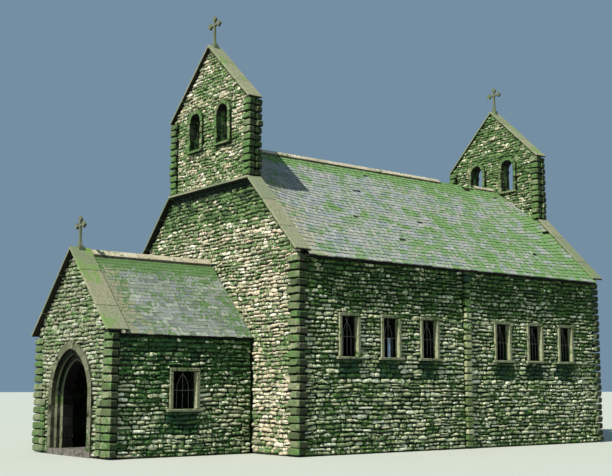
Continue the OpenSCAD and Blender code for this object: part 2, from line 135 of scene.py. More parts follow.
def add_node(tree, kind, inputs={}, stops=(), out=0, **settings):
    """Adds a node with its settings, inputs and colour stops, and returns one of its outputs. In a
    material the kind is said without ShaderNode."""
    made = tree.nodes.new("ShaderNode" + kind if tree.type == "SHADER" else kind)
    for key, value in settings.items():
        setattr(made, key, value)
    feed(made, inputs)
    if stops:
        ramp = made.color_ramp
        while len(ramp.elements) < len(stops):
            ramp.elements.new(1)
        for element, (place, colour) in zip(ramp.elements, stops):
            element.position = place
            element.color = linear(colour) if isinstance(colour, str) else (colour,) * 3 + (1,)
    return made.outputs[out] if len(made.outputs) else None


def new_material(name):
    """An empty material, a way to add nodes to it, and its shader."""
    made = bpy.data.materials.new(name)
    made.use_nodes = True
    return made, partial(add_node, made.node_tree), made.node_tree.nodes["Principled BSDF"]


# Matt paper, pale and without a shine.
floor_paper, add, shader = new_material("matt_backdrop_paper")
feed(shader, {"Base Color": linear("#AEB4AA"), "Roughness": 0.95})
floor.data.materials.append(floor_paper)

# Rubble walls. Flat split sandstones of many lengths, laid in rough courses with deep joints. The
# faces are pale and pitted, and moss grows from the joints and over the stones of the damp parts.
building_h = 12.0


def mossy_stone(name, tones, stain, heights=((0.0, 0.0), (building_h, 0.0)), moss=0.0, grain=28.0,
                rough=0.9, relief=0.012, moss_tones=("#22371A", "#44652D", "#7B984F"), stained=0.5,
                underside_shade=0.05, underside_shade_range=(-0.60, -0.20), sides=1.0, patchy=1.1, fringe=1.3, soft=0.14,
                wet_shade=0.0, wet_shade_colour="#1E3A34"):
    """Weathered stone whose colour follows the piece's tone, with algae stains and moss cushions
    that follow its cover and its height above the ground. The undersides and the faces turned to
    the sides are darkened as painted shade, and the dampest parts are darkened towards a wet
    colour that also paints in shade."""
    made, add, shader = new_material(name)
    blend = {"out": 2, "data_type": "RGBA"}
    coords = add("TexCoord", out="Object")
    tone, cover = (add("Attribute", out="Fac", attribute_name=key) for key in ("tone", "cover"))
    # Patches half a metre wide, blotches of 70 mm, the stone's own pits, and moss tufts of 26 mm.
    patch, blotch, pits, tufts = (
        add("TexNoise", {"Vector": coords, "Scale": scale, "Detail": detail, "Roughness": fine})
        for scale, detail, fine in ((1.9, 4, 0.5), (14, 3, 0.5), (grain, 6, 0.65), (38, 4, 0.7)))
    body = add("ValToRGB", {"Fac": tone}, [(i / (len(tones) - 1), t) for i, t in enumerate(tones)])
    shade = add("MapRange", {
        "Value": pits, "From Min": 0.3, "From Max": 0.72, "To Min": 0.68, "To Max": 1.16})
    grained = add("Mix", {0: 1.0, 6: body, 7: shade}, blend_type="MULTIPLY", **blend)
    algae = add("MapRange", {"Value": blotch, "From Min": 0.42, "From Max": 0.68, "To Max": stained})
    stained_body = add("Mix", {0: algae, 6: grained, 7: linear(stain)}, **blend)

    height = add("SeparateXYZ", {"Vector": coords}, out="Z")
    share = add("Math", {0: height, 1: building_h}, operation="DIVIDE")
    damp = add("ValToRGB", {"Fac": share}, [(z / building_h, value) for z, value in heights])
    level = add("Math", {0: damp, 1: cover}, operation="ADD")
    facing = add("NewGeometry", out="Normal")
    aside, ledge = (add("SeparateXYZ", {"Vector": facing}, out=axis) for axis in ("X", "Z"))
    # Painted shade: faces that look down are darkened, the steepest the most, so that undersides read
    # as in shadow.
    under = add("MapRange", {
        "Value": ledge, "From Min": underside_shade_range[0], "From Max": underside_shade_range[1], "To Min": underside_shade})
    aside = add("Math", {0: aside}, operation="ABSOLUTE")
    # Painted shade: faces turned to the sides, along X, are darkened by the sides factor, as if away
    # from the sun.
    painted_side_shade = add("MapRange", {
        "Value": aside, "From Min": 0.5, "From Max": 0.9, "To Min": 1.0, "To Max": sides})
    painted_shade = add("Math", {0: under, 1: painted_side_shade}, operation="MULTIPLY")
    # Wet darkening: where the moss level is highest the colour turns towards a dark wet colour, partly
    # wet moss and partly painted shade for the bands under slabs, eaves and sills and in the doorway.
    wet = add("MapRange", {"Value": level, "From Min": 0.50, "From Max": 0.78, "To Max": wet_shade})

    growth = level
    for value, weight in ((ledge, 0.12), (patch, patchy), (blotch, fringe)):
        growth = add("Math", {0: value, 1: weight, 2: growth}, operation="MULTIPLY_ADD")
    edge = 0.22 + (patchy + fringe) / 2 - moss
    mask = add("MapRange", {"Value": growth, "From Min": edge, "From Max": edge + soft},
               interpolation_type="SMOOTHSTEP")
    green = add("ValToRGB", {"Fac": tufts}, list(zip((0.3, 0.5, 0.72), moss_tones)))
    grown = add("Mix", {0: mask, 6: stained_body, 7: green}, **blend)
    wet_and_shaded = add("Mix", {0: wet, 6: grown, 7: linear(wet_shade_colour)}, **blend)
    colour = add("Mix", {0: 1.0, 6: wet_and_shaded, 7: painted_shade}, blend_type="MULTIPLY", **blend)
    uneven = add("Math", {0: mask, 1: 0.6, 2: pits}, operation="MULTIPLY_ADD")
    bump = add("Bump", {"Height": uneven, "Distance": relief, "Strength": 0.8})
    feed(shader, {"Base Color": colour, "Normal": bump, "Roughness": rough,
                  "Specular IOR Level": 0.25})
    return made


# Sandstone split by hand: dull, grainy and pale. The sides of the nave are greener than the gables.
# Both carry painted shade, a dark wet green, through moss and wet darkening: the sides from 3.8 m up
# under the eaves, the gables from 6.3 m up to the shoulder slab, black in its shadow from 6.92 m.
cushion_moss = ("#2E4824", "#5A7846", "#8CAC6A")
side_tones = ("#7E8C68", "#A6B488", "#C8D2A6", "#D4D2AC", "#E4EAC6", "#F2F6DA")
side_rubble = mossy_stone(
    "side_wall_sandstone", side_tones, "#5C7846",
    ((0.0, 0.26), (0.7, 0.15), (3.50, 0.17), (3.80, 0.34), (4.9, 0.52)), underside_shade=0.30,
    moss_tones=("#1C3816", "#42682E", "#80A454"), patchy=0.9, fringe=1.6, wet_shade=0.8)
gable_rubble = mossy_stone(
    "gable_sandstone", ("#848870", "#ACAA8E", "#CAC2A4", "#D2C1A8", "#E4DAC2", "#F2EEDC"), "#75835C",
    ((0.0, 0.28), (0.7, 0.16), (5.7, 0.20), (6.3, 0.52), (6.89, 0.62), (6.92, 1.0), (7.12, 1.0),
     (7.16, 0.24), (9.0, 0.22), (10.8, 0.18)), underside_shade=0.4, moss_tones=cushion_moss, patchy=0.9,
    fringe=1.9, wet_shade=0.9, wet_shade_colour="#14201E")


def select_only(*pieces):
    """Selects these objects alone, or nothing, and makes the first of them the active one."""
    bpy.ops.object.select_all(action="DESELECT")
    for piece in pieces:
        piece.select_set(True)
        bpy.context.view_layer.objects.active = pieces[0]


def new_object(name, mesh):
    """A new object of a mesh, selected alone."""
    made = bpy.data.objects.new(name, mesh)
    bpy.context.scene.collection.objects.link(made)
    select_only(made)
    return made


def edit_all():
    """Enters edit mode, or stays there, with the whole mesh selected."""
    bpy.ops.object.mode_set(mode="EDIT")
    bpy.ops.mesh.select_all(action="SELECT")


def leave_edit():
    bpy.ops.object.mode_set(mode="OBJECT")


def select_where(piece, kind, test):
    """Enters edit mode with the vertices or edges selected whose places pass a test."""
    bpy.ops.object.mode_set(mode="EDIT")
    bpy.ops.mesh.select_mode(type=kind)
    bpy.ops.mesh.select_all(action="DESELECT")
    leave_edit()
    verts = piece.data.vertices
    if kind == "VERT":
        for vert in verts:
            vert.select = test(vert.co)
    else:
        for edge in piece.data.edges:
            edge.select = test(*(verts[v].co for v in edge.vertices))
    bpy.ops.object.mode_set(mode="EDIT")


def keep_model(model, group, sharp):
    """Rounds a model's shading up to a sharp angle, and moves it to its group under a number."""
    leave_edit()
    select_only(model)
    bpy.ops.object.shade_smooth_by_angle(angle=radians(sharp))
    model.name = f"{group.name}_{len(group.objects)}"
    for owner in list(model.users_collection):
        owner.objects.unlink(model)
    group.objects.link(model)


# Split stones have a lumpy face and a broken outline. They are modelled once for each length, as a
# small grid whose middle stands out and whose corners are worn, with sides that run into the wall.
rubble_lengths = (0.12, 0.15, 0.18, 0.22, 0.26, 0.31, 0.37, 0.14, 0.17, 0.20, 0.24, 0.28)
stone_h, stone_d, stone_bulge, stone_ragged = 0.080, 0.075, 0.018, 0.016
rubble_models = bpy.data.collections.new("split_stone")
for i, length in enumerate(rubble_lengths):
    select_only()
    bpy.ops.mesh.primitive_grid_add(x_subdivisions=4, y_subdivisions=3, size=1,
                                    rotation=(pi / 2, 0, 0))
    stone = bpy.context.object
    stone.scale = (length, stone_h, 1)
    bpy.ops.object.transform_apply()
    rim_x, rim_z = length * 0.49, stone_h * 0.49
    select_where(stone, "VERT", lambda p: abs(p.x) < rim_x and abs(p.z) < rim_z)
    bpy.ops.transform.translate(value=(0, -stone_bulge, 0))
    select_where(stone, "VERT", lambda p: abs(p.x) > rim_x and abs(p.z) > rim_z)
    bpy.ops.transform.resize(value=(0.93, 1, 0.82))
    edit_all()
    bpy.ops.transform.vertex_random(offset=stone_ragged, seed=i + 3)
    bpy.ops.mesh.select_mode(type="EDGE")
    bpy.ops.mesh.select_all(action="DESELECT")
    bpy.ops.mesh.select_non_manifold(extend=False)
    bpy.ops.mesh.extrude_edges_move(TRANSFORM_OT_translate={"value": (0, stone_d, 0)})
    keep_model(stone, rubble_models, sharp=22)


def laying_tree(group):
    """Geometry nodes that put a model on each point by the point's own turn, size and pick."""
    tree = bpy.data.node_groups.new("laid_" + group.name, "GeometryNodeTree")
    for way in ("INPUT", "OUTPUT"):
        tree.interface.new_socket("Geometry", in_out=way, socket_type="NodeSocketGeometry")
    add = partial(add_node, tree)
    points = add("NodeGroupInput")
    models = add("GeometryNodeCollectionInfo", {
        "Collection": group, "Separate Children": True, "Reset Children": True})
    turn, size, pick = (
        add("GeometryNodeInputNamedAttribute", {"Name": key}, data_type=kind)
        for key, kind in (("turn", "FLOAT_VECTOR"), ("size", "FLOAT_VECTOR"), ("pick", "INT")))
    turn = add("FunctionNodeEulerToRotation", {0: turn})
    laid = add("GeometryNodeInstanceOnPoints", {
        "Points": points, "Instance": models, "Pick Instance": True, "Instance Index": pick,
        "Rotation": turn, "Scale": size})
    real = add("GeometryNodeRealizeInstances", {0: laid})
    add("NodeGroupOutput", {0: real})
    return tree


def finished(piece, name, material):
    """Names a finished piece, gives it its one material, and lets it ride on the building."""
    piece.name = piece.data.name = name
    piece.data.materials.clear()
    piece.data.materials.append(material)
    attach(piece, "root")
    return piece


def lay(name, tree, rows, material):
    """Lays one piece from rows of place, turn, size, pick, tone and cover, and joins it."""
    mesh = bpy.data.meshes.new(name)
    mesh.from_pydata([r[0] for r in rows], [], [])
    for column, (key, kind) in enumerate((("turn", "FLOAT_VECTOR"), ("size", "FLOAT_VECTOR"),
                                          ("pick", "INT"), ("tone", "FLOAT"), ("cover", "FLOAT")), 1):
        values = [r[column] for r in rows]
        vector = kind == "FLOAT_VECTOR"
        mesh.attributes.new(key, kind, "POINT").data.foreach_set(
            "vector" if vector else "value", [v for row in values for v in row] if vector else values)
    piece = new_object(name, mesh)
    piece.modifiers.new("laid", "NODES").node_group = tree
    bpy.ops.object.modifier_apply(modifier="laid")
    for key in ("turn", "size", "pick"):
        if key in piece.data.attributes:
            piece.data.attributes.remove(piece.data.attributes[key])
    return finished(piece, name, material)


split_tree = laying_tree(rubble_models)
rng = random.Random(11)


def cut_runs(runs, holes, z):
    """What is left of stretches of a course after windows, doors and quoins."""
    for hole in holes:
        cut = hole(z)
        if cut:
            runs = [run for a, b in runs
                    for run in ([(a, b)] if cut[1] <= a or cut[0] >= b
                                else [(a, cut[0])] * (cut[0] > a) + [(cut[1], b)] * (cut[1] < b))]
    return runs


def sway(turn, u, z):
    """How far the courses wander up and down from level."""
    return (0.030 * noise.noise(Vector((u * 0.9, z * 0.8, turn)))
            + 0.022 * noise.noise(Vector((u * 2.6, z * 1.7, turn + 5))))


course_rise, tall_course = (0.088, 0.132), 0.115
stone_runs = (0.12, 0.15, 0.18, 0.21, 0.24, 0.27, 0.30, 0.34, 0.40)
least_run, longest_run, scrap = 0.11, 0.42, 0.03


def course_wall(turn, distance, z0, z1, span, holes=(), damp=lambda u, z: 0.0, joint=0.034,
                coarse=1.0):
    """Rows for lay() that fill a wall face with rough courses between two heights. The face looks
    along -Y turned by an angle, at a distance from the middle, and u runs along it."""
    rows = []
    z = z0
    while z < z1 - scrap:
        rise = min(rng.uniform(*course_rise) * coarse, z1 - z)
        middle = z + rise / 2
        calm = min(1.0, (middle - z0) / 0.4, (z1 - middle) / 0.4)
        for a, b in cut_runs([span(middle)], holes, middle):
            u = a
            while u < b - scrap:
                length = rng.choice(stone_runs) * coarse
                if b - u - length < least_run:
                    length = b - u if b - u < longest_run else (b - u) / 2
                halves = 2 if rise > tall_course and rng.random() < 0.20 else 1
                short = min(1.0, 0.20 / length)
                for k in range(halves):
                    high = rise / halves
                    pick = min(range(len(rubble_lengths)),
                               key=lambda i: abs(rubble_lengths[i] - length) + rng.uniform(0, 0.04))
                    along, level = u + length / 2, middle + (k - (halves - 1) / 2) * high
                    wet = damp(along, level)
                    tall = (high - joint * (1.0 if halves == 1 else 0.6)) * rng.uniform(0.76, 1.18)
                    wave = [calm * sway(turn, along + d, level) for d in (-0.1, 0.0, 0.1)]
                    slope = atan2(wave[2] - wave[0], 0.2)
                    level = max(level + wave[1] + rng.uniform(-0.010, 0.010), z0 + tall / 2 + 0.034)
                    place = Vector((along, -distance - rng.uniform(-0.038, -0.002), level))
                    rows.append((
                        Matrix.Rotation(turn, 3, "Z") @ place,
                        (radians(rng.uniform(-22, 9)),
                         rng.choice((0, pi)) - slope + radians(rng.uniform(-8, 8)) * short,
                         turn + radians(rng.uniform(-14, 14)) * short),
                        ((length - joint * rng.uniform(0.4, 1.3)) / rubble_lengths[pick], 1.0,
                         tall / stone_h),
                        pick, rng.random() ** 0.8, wet + rng.uniform(-0.20, 0.20)))
                u += length
        z += rise
    return rows


sides = (("right", 1), ("left", -1))
wall_in, right_x = (corner.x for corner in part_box("right_wall"))
front_y, back_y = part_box("front_wall")[0].y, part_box("rear_wall")[1].y
roof_pitch = radians(40.35)
eaves_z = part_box("right_wall")[1].z - (right_x - wall_in) * tan(roof_pitch)
openings = {o["name"]: (Vector(o["box_m"][0]), Vector(o["box_m"][1]))
            for o in frame["record"]["physics"]["openings"]}
stated_gap = 0.012
jamb_w, lintel_h, sill_h, sill_ear = 0.088, 0.090, 0.075, 0.080


def window_hole(box, sign):
    """The outline of a window with its stones, as a hole in the courses."""
    low, high = box
    a, b = sorted((sign * low.y, sign * high.y))
    a, b = a - stated_gap - jamb_w, b + stated_gap + jamb_w
    z0, z1 = low.z - stated_gap, high.z + stated_gap

    def hole(z):
        if z0 - sill_h < z < z0:
            return a - sill_ear, b + sill_ear
        return (a, b) if z0 <= z < z1 + lintel_h else None
    return hole


def sill_moss_and_shade(boxes, sign):
    """More moss on the stones that a sill drips on, which through the wet darkening also paints the
    sill's shadow.
    """
    def damp(u, z):
        for low, high in boxes:
            a, b = sorted((sign * low.y, sign * high.y))
            if a - 0.12 < u < b + 0.12 and -0.55 < z - low.z < -0.08:
                return 0.55
        return 0.0
    return damp


# The corner quoins take every course in turn, long on one face and short on the other.
quoin_size, quoin_proud = 0.195, 0.035
quoin_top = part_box("corner_quoins")[1].z
quoin_rise = quoin_top / round(quoin_top / quoin_size)
corner_front, corner_side = (0.42, 0.32), (0.22, 0.30)


def side_span(sign):
    """A course of a side wall, from quoin to quoin."""
    low, high = sorted((sign * front_y, sign * back_y))
    return lambda z: (low + corner_side[int(z / quoin_rise) % 2],
                      high - corner_side[int(z / quoin_rise) % 2])


pier_low, pier_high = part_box("pilasters")
for side, sign in sides:
    boxes = [box for name, box in openings.items() if name.startswith(side + "_window")]
    middle, half = sign * (pier_low.y + pier_high.y) / 2, (pier_high.y - pier_low.y) / 2
    holes = [window_hole(box, sign) for box in boxes] + [lambda z: (middle - half, middle + half)]
    rows = course_wall(sign * pi / 2, right_x, 0.0, eaves_z, side_span(sign), holes,
                       sill_moss_and_shade(boxes, sign))
    lay(side + "_wall_stones", split_tree, rows, side_rubble)

# Gables. The end walls rise to the shoulders in finer courses, and end under their copings. The
# front one is cut away where the porch stands against it.
coping_pitch = radians(45.6)
coping_t = 0.060
shoulder_low, shoulder_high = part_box("front_shoulder")
gable_drop = coping_t / cos(coping_pitch)
fine_courses = {"joint": 0.018, "coarse": 0.94}


def gable_span(z):
    """A course of a gable face, from quoin to quoin or under its copings."""
    under = shoulder_high.z - gable_drop - z
    half = shoulder_high.x + under / tan(coping_pitch)
    edge = min(right_x - (corner_front[int(z / quoin_rise) % 2] if z < quoin_top else 0.0), half)
    return -edge, edge


porch_pitch = radians(45.3)
porch_in, porch_half = (corner.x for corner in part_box("porch_right_wall"))
porch_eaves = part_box("porch_right_wall")[1].z - (porch_half - porch_in) * tan(porch_pitch)
porch_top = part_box("porch_roof_right")[1].z


def behind_porch(z):
    """The part of the front gable that the porch walls and roof stand against."""
    if z < porch_eaves:
        return -porch_half, porch_half
    half = porch_half * (porch_top - z) / (porch_top - porch_eaves)
    return (-half, half) if half > 0 else None


for gable, turn, distance, holes in (("front", 0.0, -front_y, [behind_porch]),
                                     ("rear", pi, back_y, ())):
    rows = course_wall(turn, distance, 0.0, shoulder_low.z, gable_span, holes, **fine_courses)
    lay(gable + "_gable_stones", split_tree, rows, gable_rubble)

# Bell gables. The same rubble on both faces, cut back from the quoins at the ends and from the
# margins of the two round-headed openings. The rear one is the damper.
bell_pitch = radians(43.1)
bell_low, bell_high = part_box("front_bell_wall")
rear_low, rear_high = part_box("rear_bell_wall")
bell_half = bell_high.x
bell_proud, bell_quoin, bell_quoin_step = 0.060, 0.20, 0.05
bell_quoin_top = bell_high.z - (bell_half + bell_proud) * tan(bell_pitch) - 0.001
bell_quoin_n = round((bell_quoin_top - shoulder_high.z) / quoin_size)
bell_quoin_rise = (bell_quoin_top - shoulder_high.z) / bell_quoin_n
margin_w = 0.110
bell_damp = {"front": 0.10, "rear": 0.26}


def bell_span(z):
    """A course of a bell gable, from quoin to quoin or under its copings."""
    half = min(bell_half, (bell_high.z - z) / tan(bell_pitch))
    edge = min(half, bell_half - bell_quoin - bell_quoin_step if z < bell_quoin_top else half)
    return -edge, edge


def arch_hole(box, sign):
    """A bell opening with its round-headed margin, as a hole in the courses."""
    low, high = box
    u = sign * (low.x + high.x) / 2
    half = (high.x - low.x) / 2 + stated_gap + margin_w

    def hole(z):
        if not low.z - stated_gap - sill_h < z < high.z + half:
            return None
        wide = half if z < high.z else sqrt(max(half ** 2 - (z - high.z) ** 2, 0))
        return u - wide, u + wide
    return hole


rows = []
for gable, turn_out, face, back in (("front", 0.0, -bell_low.y, -bell_high.y),
                                    ("rear", pi, rear_high.y, rear_low.y)):
    for turn, distance in ((turn_out, face), (turn_out + pi, -back)):
        holes = [arch_hole(box, round(cos(turn))) for name, box in openings.items()
                 if name.startswith(gable + "_bell")]
        rows += course_wall(turn, distance, shoulder_high.z, bell_high.z - 0.05, bell_span, holes,
                            lambda u, z: bell_damp[gable], joint=0.012, coarse=0.82)
lay("bell_gable_stones", split_tree, rows, gable_rubble)

# Porch walls. Rubble again, with the pointed doorway and the two small windows left open. The
# stone is greyer than the nave's, and its sides are as green.
porch_front, porch_wall_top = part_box("porch_front_wall")[0].y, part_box("porch_front_wall")[1].z
porch_quoin, porch_quoin_side, porch_quoin_step = 0.37, 0.19, 0.04
porch_proud = 0.065
porch_quoin_top = porch_wall_top - (porch_half + porch_proud) * tan(porch_pitch) - 0.001
porch_quoin_n = round(porch_quoin_top / quoin_size)
porch_quoin_rise = porch_quoin_top / porch_quoin_n
porch_wide, porch_wide_z = 0.62, round(1.3 / porch_quoin_rise) * porch_quoin_rise
ring_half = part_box("doorway_outer_order")[1].x
spring_z = openings["porch_doorway"][1].z
arch_point = 0.172


def doorway_hole(z):
    """The doorway with its outer order, upright to the springing and pointed above."""
    half = ring_half
    if z >= spring_z:
        half = sqrt(max((half + arch_point) ** 2 - (z - spring_z) ** 2, 0)) - arch_point
    return (-half, half) if half > 0 else None


def porch_span(z):
    """A course of the porch front, from quoin to quoin, which are wider at the foot."""
    half = (porch_wall_top - z) / tan(porch_pitch)
    reach = 0.0 if z > porch_quoin_top else porch_wide if z < porch_wide_z else porch_quoin
    edge = min(porch_half - reach, half)
    return -edge, edge


porch_rubble = mossy_stone(
    "porch_sandstone", ("#5E6850", "#7A8268", "#91967C", "#9A967F", "#ABAE95", "#C0C3AE"), "#687E56",
    ((0.0, 0.24), (0.5, 0.14), (2.6, 0.14), (3.4, 0.18), (5.0, 0.20)), underside_shade=0.4,
    moss_tones=cushion_moss, patchy=0.9, fringe=1.9)
rows = course_wall(0.0, -porch_front, 0.0, porch_wall_top - 0.05, porch_span, [doorway_hole],
                   **fine_courses)
lay("porch_front_stones", split_tree, rows, porch_rubble)
# The porch sides carry painted shade under the eaves, from 2 m up, and under the window sills, through
# moss and wet darkening.
porch_side_rubble = mossy_stone(
    "porch_side_sandstone", side_tones, "#5C7846",
    ((0.0, 0.30), (0.6, 0.20), (1.7, 0.22), (2.0, 0.45), (3.2, 0.55)), underside_shade=0.30,
    moss_tones=("#1A3818", "#3A6232", "#749A58"), patchy=0.9, fringe=1.6, wet_shade=0.7)
rows = []
for side, sign in sides:
    box = openings[f"porch_{side}_window"]
    a, b = sorted((sign * (porch_front + porch_quoin_side + porch_quoin_step), sign * (front_y - 0.04)))
    rows += course_wall(sign * pi / 2, porch_half, 0.0, porch_eaves, lambda z: (a, b),
                        [window_hole(box, sign)], sill_moss_and_shade([box], sign), joint=0.030)
lay("porch_side_stones", split_tree, rows, porch_side_rubble)

# Wall cores. Behind the stones the walls show only as deep joints of earth and lime mortar, dark
# with damp and grown over with moss. Their faces lie 45 mm behind the faces of the stones.
joint_depth = 0.045
side_mortar = mossy_stone(
    "damp_lime_mortar", ("#0C1E08", "#132A0C", "#1C3612"), "#0E2208",
    ((0.0, 0.24), (3.6, 0.20), (3.9, 0.05), (12.0, 0.05)), relief=0.02,
    moss_tones=("#10280C", "#284A1A", "#4E7432"))
# The mortar's band under the shoulder slab, 6.92 to 7.12 m, is painted shadow, near black through the
# wet darkening.
gable_mortar = mossy_stone(
    "mossy_lime_mortar", ("#141E10", "#202C18", "#2E3822"), "#1E2C16",
    ((0.0, 0.10), (6.88, 0.14), (6.92, 1.0), (7.12, 1.0), (7.16, 0.30)), relief=0.02,
    moss_tones=("#223A1C", "#446432", "#6C9050"), wet_shade=0.9)


def merged_copy(node, flat=True):
    """A copy of a CAD node with its loose triangles merged, also into flat faces."""
    made = new_object("copy", nodes[node].data.copy())
    edit_all()
    bpy.ops.mesh.remove_doubles(threshold=0.0004)
    if flat:
        bpy.ops.mesh.dissolve_limited(angle_limit=radians(0.5))
    leave_edit()
    return made


def wall_core(node, faces, mortar=gable_mortar):
    """The wall with each of its faces, an axis and a value, drawn back behind the stones."""
    core = merged_copy(node, flat=False)
    for axis, value, way in faces:
        for vert in core.data.vertices:
            if abs(vert.co[axis] - value) < 0.002:
                vert.co[axis] -= way * joint_depth
    finished(core, node + "_core", mortar)
    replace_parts(core, node)


for side, way in sides:
    wall_core(side + "_wall", [(0, way * right_x, way)], side_mortar)
    wall_core(f"porch_{side}_wall", [(0, way * porch_half, way)], side_mortar)
for node, half, faces in (
        ("front_wall", right_x, ((1, front_y, -1), (1, bell_high.y, 1))),
        ("rear_wall", right_x, ((1, back_y, 1), (1, rear_low.y, -1))),
        ("front_bell_wall", bell_half, ((1, bell_low.y, -1), (1, bell_high.y, 1))),
        ("rear_bell_wall", bell_half, ((1, rear_low.y, -1), (1, rear_high.y, 1))),
        ("porch_front_wall", porch_half, ((1, porch_front, -1),))):
    wall_core(node, ((0, half, 1), (0, -half, -1)) + faces)


# Parapets. The inner faces of the gables rise a little over the roofs, of the same rubble, which
# starts at the slates.
def over_slates(ridge_z, pitch):
    """The part of an inner face that lies below the slates, as a hole in the courses."""
    def hole(z):
        half = (ridge_z - z) / tan(pitch)
        return (-half, half) if half > 0 else None
    return hole


def parapet_span(z):
    """A course of a nave parapet, under its copings."""
    under = shoulder_high.z - gable_drop - z - 0.10
    half = min(right_x - 0.10, shoulder_high.x + under / tan(coping_pitch))
    return -half, half


def porch_parapet_span(z):
    """A course of the porch parapet, under its copings."""
    half = (porch_wall_top - z) / tan(porch_pitch)
    return -half, half


nave_slate_line = [over_slates(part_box("nave_roof_right")[1].z, roof_pitch)]
rows = course_wall(pi, bell_high.y, eaves_z, shoulder_low.z, parapet_span, nave_slate_line)
rows += course_wall(0.0, -rear_low.y, eaves_z, shoulder_low.z, parapet_span, nave_slate_line)
rows += course_wall(pi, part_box("porch_roof_right")[0].y, porch_eaves, porch_wall_top - 0.05,
                    porch_parapet_span, [over_slates(porch_top, porch_pitch)])
lay("parapet_stones", split_tree, rows, gable_rubble)

# Quoins. The corners are dressed blocks laid header and stretcher by turns, a little proud of the
# rubble. The bell gables have a column of them on each face at both ends. Dressed sandstone has
# taken up algae more evenly than the rubble, and its returns, the faces turned to the sides, are
# painted much darker as shade.
quoin_stone = mossy_stone(
    "quoin_sandstone", ("#444E34", "#5E6C4A", "#7A8564", "#929676", "#52623F"), "#4E633A",
    ((0.0, 0.28), (0.6, 0.20), (4.4, 0.22), (7.0, 0.16), (11.0, 0.16)), stained=0.8,
    moss_tones=("#284420", "#4E6E3C", "#769856"), sides=0.24)
block_lengths, block_d, block_h = (0.30, 0.31, 0.29), 0.20, 0.19
block_joint, block_chip, block_ragged = 0.012, 0.034, 0.015
block_models = bpy.data.collections.new("quoin_block")
for i, length in enumerate(block_lengths):
    select_only()
    bpy.ops.mesh.primitive_cube_add(size=1, scale=(length, block_d, block_h))
    block = bpy.context.object
    bpy.ops.object.transform_apply()
    select_where(block, "EDGE", lambda a, b: abs(a.x - b.x) > length / 2)
    bpy.ops.mesh.subdivide(number_cuts=1)

    def outer_edge(a, b):
        on_end = abs(a.x) > length * 0.4 and abs(b.x) > length * 0.4
        on_face = a.y * b.y > 0 and (on_end or abs(a.x - b.x) > length / 4)
        return on_face or (on_end and abs(a.y - b.y) > block_d / 2)

    select_where(block, "EDGE", outer_edge)
    bpy.ops.mesh.bevel(offset=block_chip)
    edit_all()
    bpy.ops.transform.vertex_random(offset=block_ragged, seed=i + 3)
    keep_model(block, block_models, sharp=28)
block_tree = laying_tree(block_models)


def quoin_block(corner, opposite, damp=0.0):
    """One row for lay(): a block that fills the box between two opposite corners."""
    low, high = zip(*(sorted(pair) for pair in zip(corner, opposite)))
    size = [b - a for a, b in zip(low, high)]
    pick = rng.randrange(3)
    drift = [rng.uniform(-0.006, 0.006) for _ in range(3)]
    drift[2] += 0.022 if low[2] < 0.01 else 0.0
    return (tuple((a + b) / 2 + d for a, b, d in zip(low, high, drift)),
            tuple(radians(rng.uniform(-1.6, 1.6)) for _ in range(3)),
            (size[0] / block_lengths[pick], size[1] / block_d, (size[2] - block_joint) / block_h),
            pick, rng.random(), damp + rng.uniform(-0.16, 0.16))


rows = []
for sx in (1, -1):
    for face_y, sy in ((front_y, -1), (back_y, 1)):
        for k in range(round(quoin_top / quoin_rise)):
            rows.append(quoin_block(
                (sx * (right_x + quoin_proud), face_y + sy * quoin_proud, k * quoin_rise),
                (sx * (right_x - corner_front[k % 2]), face_y - sy * corner_side[k % 2],
                 (k + 1) * quoin_rise)))
for sx in (1, -1):
    for k in range(porch_quoin_n):
        z0, z1 = k * porch_quoin_rise, (k + 1) * porch_quoin_rise
        front, side_y = porch_front - 0.030, porch_front + porch_quoin_side
        back = side_y + porch_quoin_step * (k % 2)
        rows.append(quoin_block((sx * (porch_half + porch_proud), front, z0),
                                (sx * (porch_half - porch_quoin), back, z1)))
        if z1 < porch_wide_z + 0.01:
            rows.append(quoin_block((sx * (porch_half - porch_quoin), front, z0),
                                    (sx * (porch_half - porch_wide), side_y, z1)))
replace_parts(lay("corner_blocks", block_tree, rows, quoin_stone), "corner_quoins")

rows = []
for low_y, high_y in ((bell_low.y, bell_high.y), (rear_low.y, rear_high.y)):
    middle = (low_y + high_y) / 2
    for sx in (1, -1):
        for first, sy, face_y in ((0, -1, low_y), (1, 1, high_y)):
            for k in range(bell_quoin_n):
                z0 = shoulder_high.z + k * bell_quoin_rise
                inner = bell_half - bell_quoin - bell_quoin_step * ((k + first + 1) % 2)
                x = sx * (bell_half + bell_proud + rng.uniform(0.0, 0.04))
                y = face_y + sy * bell_proud + sy * rng.uniform(0.0, 0.03)
                rows.append(quoin_block((x, y, z0), (sx * inner, middle + sy * 0.02,
                                                     z0 + bell_quoin_rise), 0.16))
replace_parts(lay("bell_blocks", block_tree, rows, quoin_stone), "bell_quoins")


# Pilasters. A shallow pier of rough coursed blocks stands between the window groups on both sides,
# of the same green sandstone as the wall, with painted shade, a dark wet green, under the eaves.
def spread(start, end, size, wander=0.15):
    """Places from start to end, about a size apart."""
    count = max(1, round((end - start) / size))
    inside = [start + (end - start) * (i + rng.uniform(-wander, wander)) / count
              for i in range(1, count)]
    return [start] + inside + [end]


